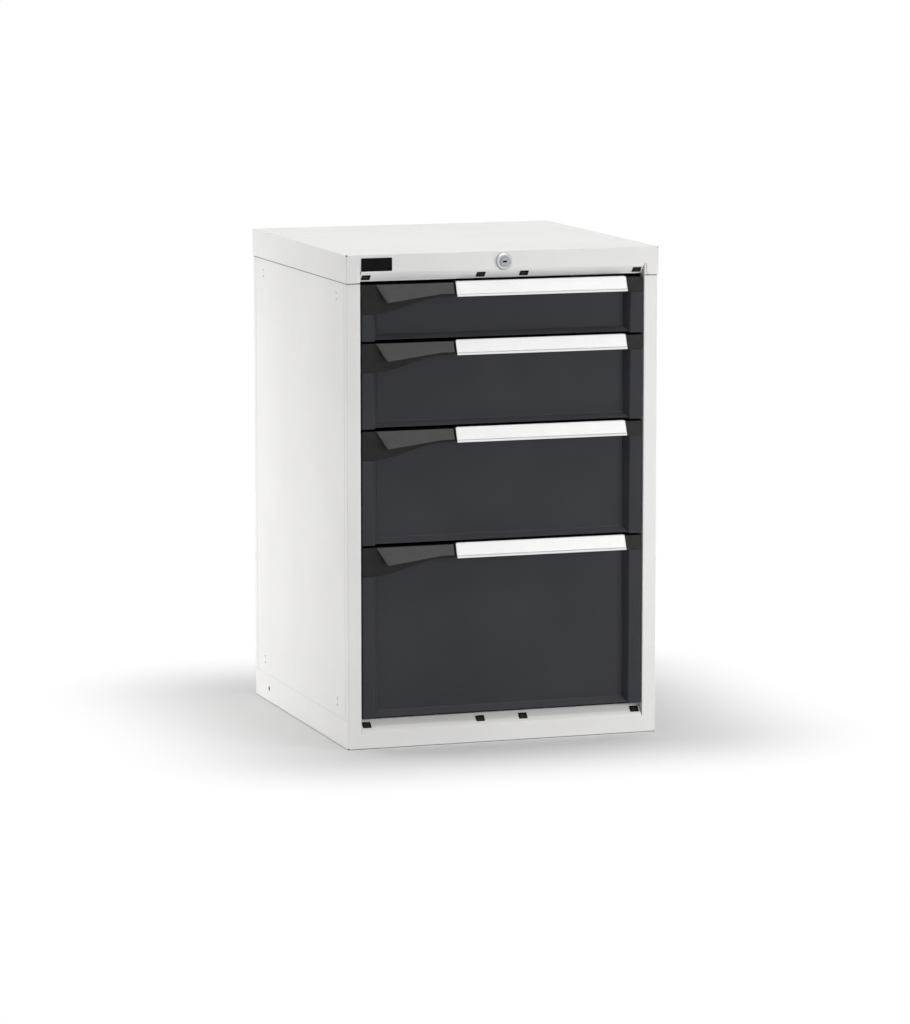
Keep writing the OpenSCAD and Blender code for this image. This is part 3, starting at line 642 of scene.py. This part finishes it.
dress_plugs()
dress_badge()
dress_rivets()


# Lock

LOCK_STEPS = 96
LOCK_BORE = 7.05 * MM
LOCK_SHANK = 9.5 * MM
LOCK_SHARP = 40.0
# The rosette in millimetres: its rim as steps in from its edge and out from the cover, its face as steps
# in from its edge and back from its front, and its mouth as steps out from the bore and back from its front
ROSETTE_RIM = ((0.0, 0.0), (0.0, 2.0), (0.2, 2.4))
ROSETTE_FACE = (
    (0.9, 0.75), (1.5, 0.3), (2.2, 0.1), (3.4, 0.0), (3.9, 0.15), (4.1, 1.2), (4.8, 1.2), (5.0, 0.25))
ROSETTE_MOUTH = ((0.1, 1.4), (0.0, 1.6))
# Darker disc round the cylinder
DARK_DISC = 9.6 * MM
# Keyhole: half its length with some room, how much wider it is than the solid's, and from what depth it is
# painted black as shade
KEYHOLE_HALF = 4.2 * MM
KEYHOLE_ROOM = 0.3 * MM
KEYHOLE_WIDER = 1.5
KEYHOLE_SHADE = 2.0 * MM
CYLINDER_SHARP = 30.0
CYLINDER_EDGE = 0.2 * MM


def dress_lock():
    low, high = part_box("lock_housing")
    centre = (low + high) / 2
    outer = (high.x - low.x) / 2
    front = low.y
    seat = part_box("top_cover")[0].y
    profile = [(LOCK_SHANK, high.y), (LOCK_SHANK, seat)]
    profile += [(outer - inset * MM, seat - rise * MM) for inset, rise in ROSETTE_RIM]
    profile += [(outer - inset * MM, front + sink * MM) for inset, sink in ROSETTE_FACE]
    profile += [(LOCK_BORE + room * MM, front + sink * MM) for room, sink in ROSETTE_MOUTH]
    profile += [(LOCK_BORE, high.y), (LOCK_SHANK, high.y)]
    bm = bmesh.new()
    turned(bm, profile, LOCK_STEPS, centre, "y")
    bmesh.ops.remove_doubles(bm, verts=bm.verts, dist=WELD)
    for face in bm.faces:
        middle = face.calc_center_median() - centre
        if math.hypot(middle.x, middle.z) < DARK_DISC:
            face.material_index = SECOND
    dress("lock_housing", bm, second=key_metal, sharp=LOCK_SHARP)
    bm = solid("lock_cylinder")
    for vertex in bm.verts:
        offset = vertex.co - centre
        if math.hypot(offset.x, offset.z) < KEYHOLE_HALF + KEYHOLE_ROOM and vertex.co.y < seat:
            vertex.co.z = centre.z + offset.z * KEYHOLE_WIDER
    # Faces deep in the keyhole take black plastic as painted shade
    for face in bm.faces:
        middle = face.calc_center_median()
        offset = middle - centre
        if math.hypot(offset.x, offset.z) < KEYHOLE_HALF and middle.y > front + KEYHOLE_SHADE:
            face.material_index = SECOND
    dress("lock_cylinder", bm, key_metal, black_plastic, sharp=CYLINDER_SHARP, edge=CYLINDER_EDGE)


dress_lock()


# Drawers

FRONT_FOLD = 1.5 * MM
STRIP = 22.5 * MM
RECESS = 14.5 * MM
FOOT_SLOPE = 11.5 * MM
FOOT_LIFT = 2.5 * MM
# Run of the recess's side walls and height of its foot, which are steeper than the solid's
WALL_RUN = 8.5 * MM
WALL_FOOT = 9.5 * MM
WALL_ZONE = 4.0 * MM
PANEL_ZONE = 0.3 * MM
# Faces at the foot of the recess lean at least this far up and to the front
FOOT_UP = 0.5
FOOT_FRONT = 0.4
# How much the fronts and left caps fall short at their left edge
LEFT_TRIM = 1.4 * MM
EDGE_ZONE = 2.0 * MM
CAP_FOLD = 1.2 * MM
BOLT_DROP = 13.0 * MM
BOLT_HALF = 5.0 * MM
# Tongue of the left cap in the end of the handle profile
TONGUE_L = 9.0 * MM
TONGUE_LOW = 22.2 * MM
TONGUE_TOP = 6.5 * MM
TONGUE_BACK = 2.1 * MM
TONGUE_TIP = 1.0 * MM
# Thumb grip, and the crease beside its slanted end
GRIP_SLANT = 18.0 * MM
GRIP_H = 30.0 * MM
GRIP_INSET = 26.0 * MM
CREASE_TOP = 9.0 * MM
CREASE_LOW = 3.5 * MM
TURN_TOP = 1.2 * MM
TURN_LOW = 2.6 * MM
TURN_ROOM = 1.0 * MM
FACET_UP = 0.2
FACET_FOLD = 1.0 * MM
HANDLE_WALL = 1.8 * MM
HANDLE_CORNER = 6.5 * MM
HANDLE_EDGE = 0.25 * MM
# Distance of the crease from the handle's upper edge, and how much deeper it is pressed
CREASE_DROP = 21.75 * MM
CREASE_DEEPER = 0.6 * MM
# Faces whose normal lies at least this far along an axis are square to it
SQUARE = 0.95
LABEL_EDGE = 0.1 * MM


def dress_front(node):
    low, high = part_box(node)
    bm = solid(node)
    panel = low.y + RECESS
    foot = low.z + FOOT_LIFT
    for vertex in bm.verts:
        if abs(vertex.co.y - panel) < PANEL_ZONE:
            if abs(high.x - STRIP - RECESS - abs(vertex.co.x)) < WALL_ZONE:
                vertex.co.x += math.copysign(RECESS - WALL_RUN, vertex.co.x)
            if abs(vertex.co.z - foot - FOOT_SLOPE) < WALL_ZONE:
                vertex.co.z -= FOOT_SLOPE - WALL_FOOT
    folds = edges_at(bm, x=low.x, y=low.y) + edges_at(bm, x=high.x, y=low.y)
    for side in (low.x, high.x):
        turn = 1 if side < 0 else -1
        folds += edges_at(bm, x=side + turn * STRIP, y=low.y)
        folds += edges_at(bm, x=side + turn * (STRIP + WALL_RUN), y=panel)
    folds += edges_at(bm, y=panel, z=foot + WALL_FOOT)
    for vertex in bm.verts:
        if vertex.co.x < low.x + EDGE_ZONE:
            vertex.co.x += LEFT_TRIM
    round_edges(bm, folds, FRONT_FOLD)
    bm.normal_update()
    for face in bm.faces:
        if face.normal.z > FOOT_UP and face.normal.y < -FOOT_FRONT:
            face.material_index = SECOND
    dress(node, bm, second=front_sheen)


def dress_left_cap(node):
    low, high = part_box(node)
    bm = solid(node)
    bolt = high.z - BOLT_DROP
    rim = [
        edge for edge in edges_at(bm, y=low.y)
        if any(abs(v.co.z - bolt) > BOLT_HALF for v in edge.verts)
    ]
    for vertex in bm.verts:
        if vertex.co.x < low.x + NEAR:
            vertex.co.x += LEFT_TRIM
    round_edges(bm, rim, CAP_FOLD)
    bottom = high.z - TONGUE_LOW
    top = high.z - TONGUE_TOP
    back = high.y - TONGUE_BACK
    rows = []
    for x, narrowing in (
            (high.x - NEAR, 0.0), (high.x + TONGUE_L - TONGUE_TIP, 0.0), (high.x + TONGUE_L, TONGUE_TIP)):
        front = low.y + narrowing
        rows.append([bm.verts.new(point) for point in (
            (x, front, bottom + narrowing), (x, back - narrowing, bottom + narrowing),
            (x, back - narrowing, top - narrowing), (x, front, top - narrowing))])
    for a, b in zip(rows, rows[1:]):
        for k in range(4):
            bm.faces.new((a[k - 1], a[k], b[k], b[k - 1]))
    bm.faces.new(rows[0])
    bm.faces.new(rows[-1])
    dress(node, bm)


def dress_right_cap(node):
    bm = solid(node)
    round_edges(bm, edges_at(bm, y=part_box(node)[0].y), CAP_FOLD)
    dress(node, bm, end_plastic)


def dress_latch(node):
    """The grip's slanted end turns away along a crease that runs down beside it."""
    bm = solid(node)
    cap_low, cap_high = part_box(node.replace("latch", "left_cap"))
    left = cap_low.x + GRIP_INSET
    corner = left + GRIP_SLANT
    top = cap_high.z
    crease = Vector((corner + CREASE_LOW - left - CREASE_TOP, 0.0, -GRIP_H))
    cut(bm, (left + CREASE_TOP, 0.0, top), crease.cross(ALONG["y"]))
    for vertex in bm.verts:
        if vertex.co.y < cap_low.y - TURN_ROOM:
            if abs(vertex.co.x - left) < NEAR and abs(vertex.co.z - top) < NEAR:
                vertex.co.y += TURN_TOP
            if abs(vertex.co.x - corner) < NEAR and abs(vertex.co.z - top + GRIP_H) < NEAR:
                vertex.co.y += TURN_LOW
    bm.normal_update()
    facet = max(
        (face for face in bm.faces if face.normal.y < -FACING_FRONT and face.normal.z > FACET_UP),
        key=lambda face: face.calc_area())
    round_edges(bm, facet.edges[:], FACET_FOLD)
    # The grip takes the lighter plastic, which is painted light
    dress(node, bm, grip_plastic_painted_light)


def dress_handle(node):
    """The profile with its upper end corners rounded. The wall under them is as deep as the rounding. Its
    top face takes dark plastic as painted shade in the gap above the handle.
    """
    low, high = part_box(node)
    bm = solid(node)
    for vertex in bm.verts:
        if abs(vertex.co.z - high.z + HANDLE_WALL) < NEAR:
            vertex.co.z = high.z - HANDLE_CORNER - HANDLE_WALL
        if abs(vertex.co.z - high.z + CREASE_DROP) < NEAR:
            vertex.co.y += CREASE_DEEPER
    corners = edges_at(bm, x=low.x, z=high.z) + edges_at(bm, x=high.x, z=high.z)
    round_edges(bm, corners, HANDLE_CORNER, segments=6)
    bm.normal_update()
    # Dark cap plastic on the top face is painted shade in the gap above the handle; the end faces take it
    # too
    for face in bm.faces:
        shaded_top = face.normal.z > SQUARE and face.calc_center_median().z > high.z - NEAR
        if shaded_top or abs(face.normal.x) > SQUARE:
            face.material_index = SECOND
    dress(node, bm, second=cap_plastic, edge=HANDLE_EDGE)


for drawer in DRAWERS:
    dress_front(drawer + "_front")
    dress_left_cap(drawer + "_left_cap")
    dress_right_cap(drawer + "_right_cap")
    dress_latch(drawer + "_latch")
    dress_handle(drawer + "_handle")
    dress(drawer + "_label_strip", solid(drawer + "_label_strip"), edge=LABEL_EDGE)

for name, node in nodes.items():
    if not node.hide_render:
        node.data.materials.clear()
        node.data.materials.append(finishes[slots[name]])


# Stage, light and camera

WHITE = (1.0, 1.0, 1.0, 1.0)
WORLD_LEVEL = 0.205
FLOOR_TONE = 0.82
FLOOR_RADIUS = 12.0
FLOOR_STEPS = 96
# Distance from the cabinet at which the floor has run out to white
FADE_END = 0.41
CAMERA_PLACE = (-2.654, -7.996, 1.571)
CAMERA_LENS = 168.50
CAMERA_SENSOR = 36.0
# Degrees that the camera looks down, and turns to the right
CAMERA_DOWN = 8.172
CAMERA_TURN = 18.407


def calculated(tree, operation, *values):
    """The result of a math node. Each value is an output to link or a plain number."""
    node = tree.nodes.new("ShaderNodeMath")
    node.operation = operation
    for socket, value in zip(node.inputs, values):
        if isinstance(value, float):
            socket.default_value = value
        else:
            tree.links.new(value, socket)
    return node.outputs["Value"]


def seen_directly(tree):
    """1 for rays from the camera, from gloss and through glass, otherwise 0."""
    path = tree.nodes.new("ShaderNodeLightPath")
    total = path.outputs["Is Camera Ray"]
    for name in ("Is Glossy Ray", "Is Transmission Ray"):
        total = calculated(tree, "MAXIMUM", total, path.outputs[name])
    return total


def build_world():
    world = bpy.data.worlds.new("studio")
    bpy.context.scene.world = world
    world.use_nodes = True
    tree = world.node_tree
    background = tree.nodes["Background"]
    background.inputs["Color"].default_value = WHITE
    strength = tree.nodes.new("ShaderNodeMapRange")
    strength.inputs["To Min"].default_value = WORLD_LEVEL
    strength.inputs["To Max"].default_value = 1.0
    tree.links.new(seen_directly(tree), strength.inputs["Value"])
    tree.links.new(strength.outputs["Result"], background.inputs["Strength"])


def build_floor():
    """A pale floor that keeps the shadow near the cabinet and runs out to white."""
    bm = bmesh.new()
    bmesh.ops.create_circle(bm, cap_ends=True, segments=FLOOR_STEPS, radius=FLOOR_RADIUS)
    mesh = bpy.data.meshes.new("floor")
    bm.to_mesh(mesh)
    bm.free()
    floor = bpy.data.objects.new("floor", mesh)
    collection.objects.link(floor)
    material = bpy.data.materials.new("pale_floor")
    material.use_nodes = True
    tree = material.node_tree
    tree.nodes.remove(tree.nodes["Principled BSDF"])
    diffuse = tree.nodes.new("ShaderNodeBsdfDiffuse")
    diffuse.inputs["Color"].default_value = (FLOOR_TONE, FLOOR_TONE, FLOOR_TONE, 1.0)
    white = tree.nodes.new("ShaderNodeEmission")
    white.inputs["Color"].default_value = WHITE
    white.inputs["Strength"].default_value = 1.0
    place = tree.nodes.new("ShaderNodeTexCoord")
    split = tree.nodes.new("ShaderNodeSeparateXYZ")
    tree.links.new(place.outputs["Object"], split.inputs["Vector"])
    beyond = tree.nodes.new("ShaderNodeCombineXYZ")
    for axis, half in (("X", cad_box[1].x), ("Y", cad_box[1].y)):
        reach = calculated(tree, "ABSOLUTE", split.outputs[axis])
        past = calculated(tree, "SUBTRACT", reach, half)
        tree.links.new(calculated(tree, "MAXIMUM", past, 0.0), beyond.inputs[axis])
    distance = tree.nodes.new("ShaderNodeVectorMath")
    distance.operation = "LENGTH"
    tree.links.new(beyond.outputs["Vector"], distance.inputs[0])
    fade = tree.nodes.new("ShaderNodeMapRange")
    fade.interpolation_type = "SMOOTHSTEP"
    fade.inputs["From Min"].default_value = 0.0
    fade.inputs["From Max"].default_value = FADE_END
    tree.links.new(distance.outputs["Value"], fade.inputs["Value"])
    share = calculated(tree, "MULTIPLY", fade.outputs["Result"], seen_directly(tree))
    mix = tree.nodes.new("ShaderNodeMixShader")
    tree.links.new(share, mix.inputs["Fac"])
    tree.links.new(diffuse.outputs["BSDF"], mix.inputs[1])
    tree.links.new(white.outputs["Emission"], mix.inputs[2])
    tree.links.new(mix.outputs["Shader"], tree.nodes["Material Output"].inputs["Surface"])
    mesh.materials.append(material)


def add_light(name, place, target, size, power, mirrored=False):
    light = bpy.data.lights.new(name, "AREA")
    light.shape = "RECTANGLE"
    light.size, light.size_y = size
    light.energy = power
    lamp = bpy.data.objects.new(name, light)
    collection.objects.link(lamp)
    lamp.location = place
    lamp.rotation_mode = "QUATERNION"
    lamp.rotation_quaternion = (Vector(target) - Vector(place)).to_track_quat("-Z", "Y")
    lamp.visible_camera = False
    lamp.visible_glossy = mirrored


def add_camera():
    data = bpy.data.cameras.new("camera")
    data.lens = CAMERA_LENS
    data.sensor_width = CAMERA_SENSOR
    camera = bpy.data.objects.new("camera", data)
    collection.objects.link(camera)
    camera.location = CAMERA_PLACE
    camera.rotation_euler = (math.radians(90 - CAMERA_DOWN), 0.0, math.radians(-CAMERA_TURN))
    bpy.context.scene.camera = camera


build_world()
build_floor()
add_light(
    "overhead", place=(0.0, -0.1, 3.4), target=(0.0, -0.1, 0.8), size=(3.0, 3.0), power=77.0, mirrored=True)
add_light(
    "right_front", place=(1.6, -2.0, 0.55), target=(0.1, -0.3, 0.45), size=(1.2, 1.1), power=22.5)
add_light(
    "low_front", place=(0.2, -2.3, 0.12), target=(0.0, -0.28, 0.80), size=(2.4, 0.2), power=11.8)
add_light(
    "left_rear", place=(-1.8, 1.1, 0.20), target=(-0.3, 0.2, 0.42), size=(1.3, 0.3), power=26.0)
add_camera()
bpy.context.scene.view_settings.view_transform = "Standard"
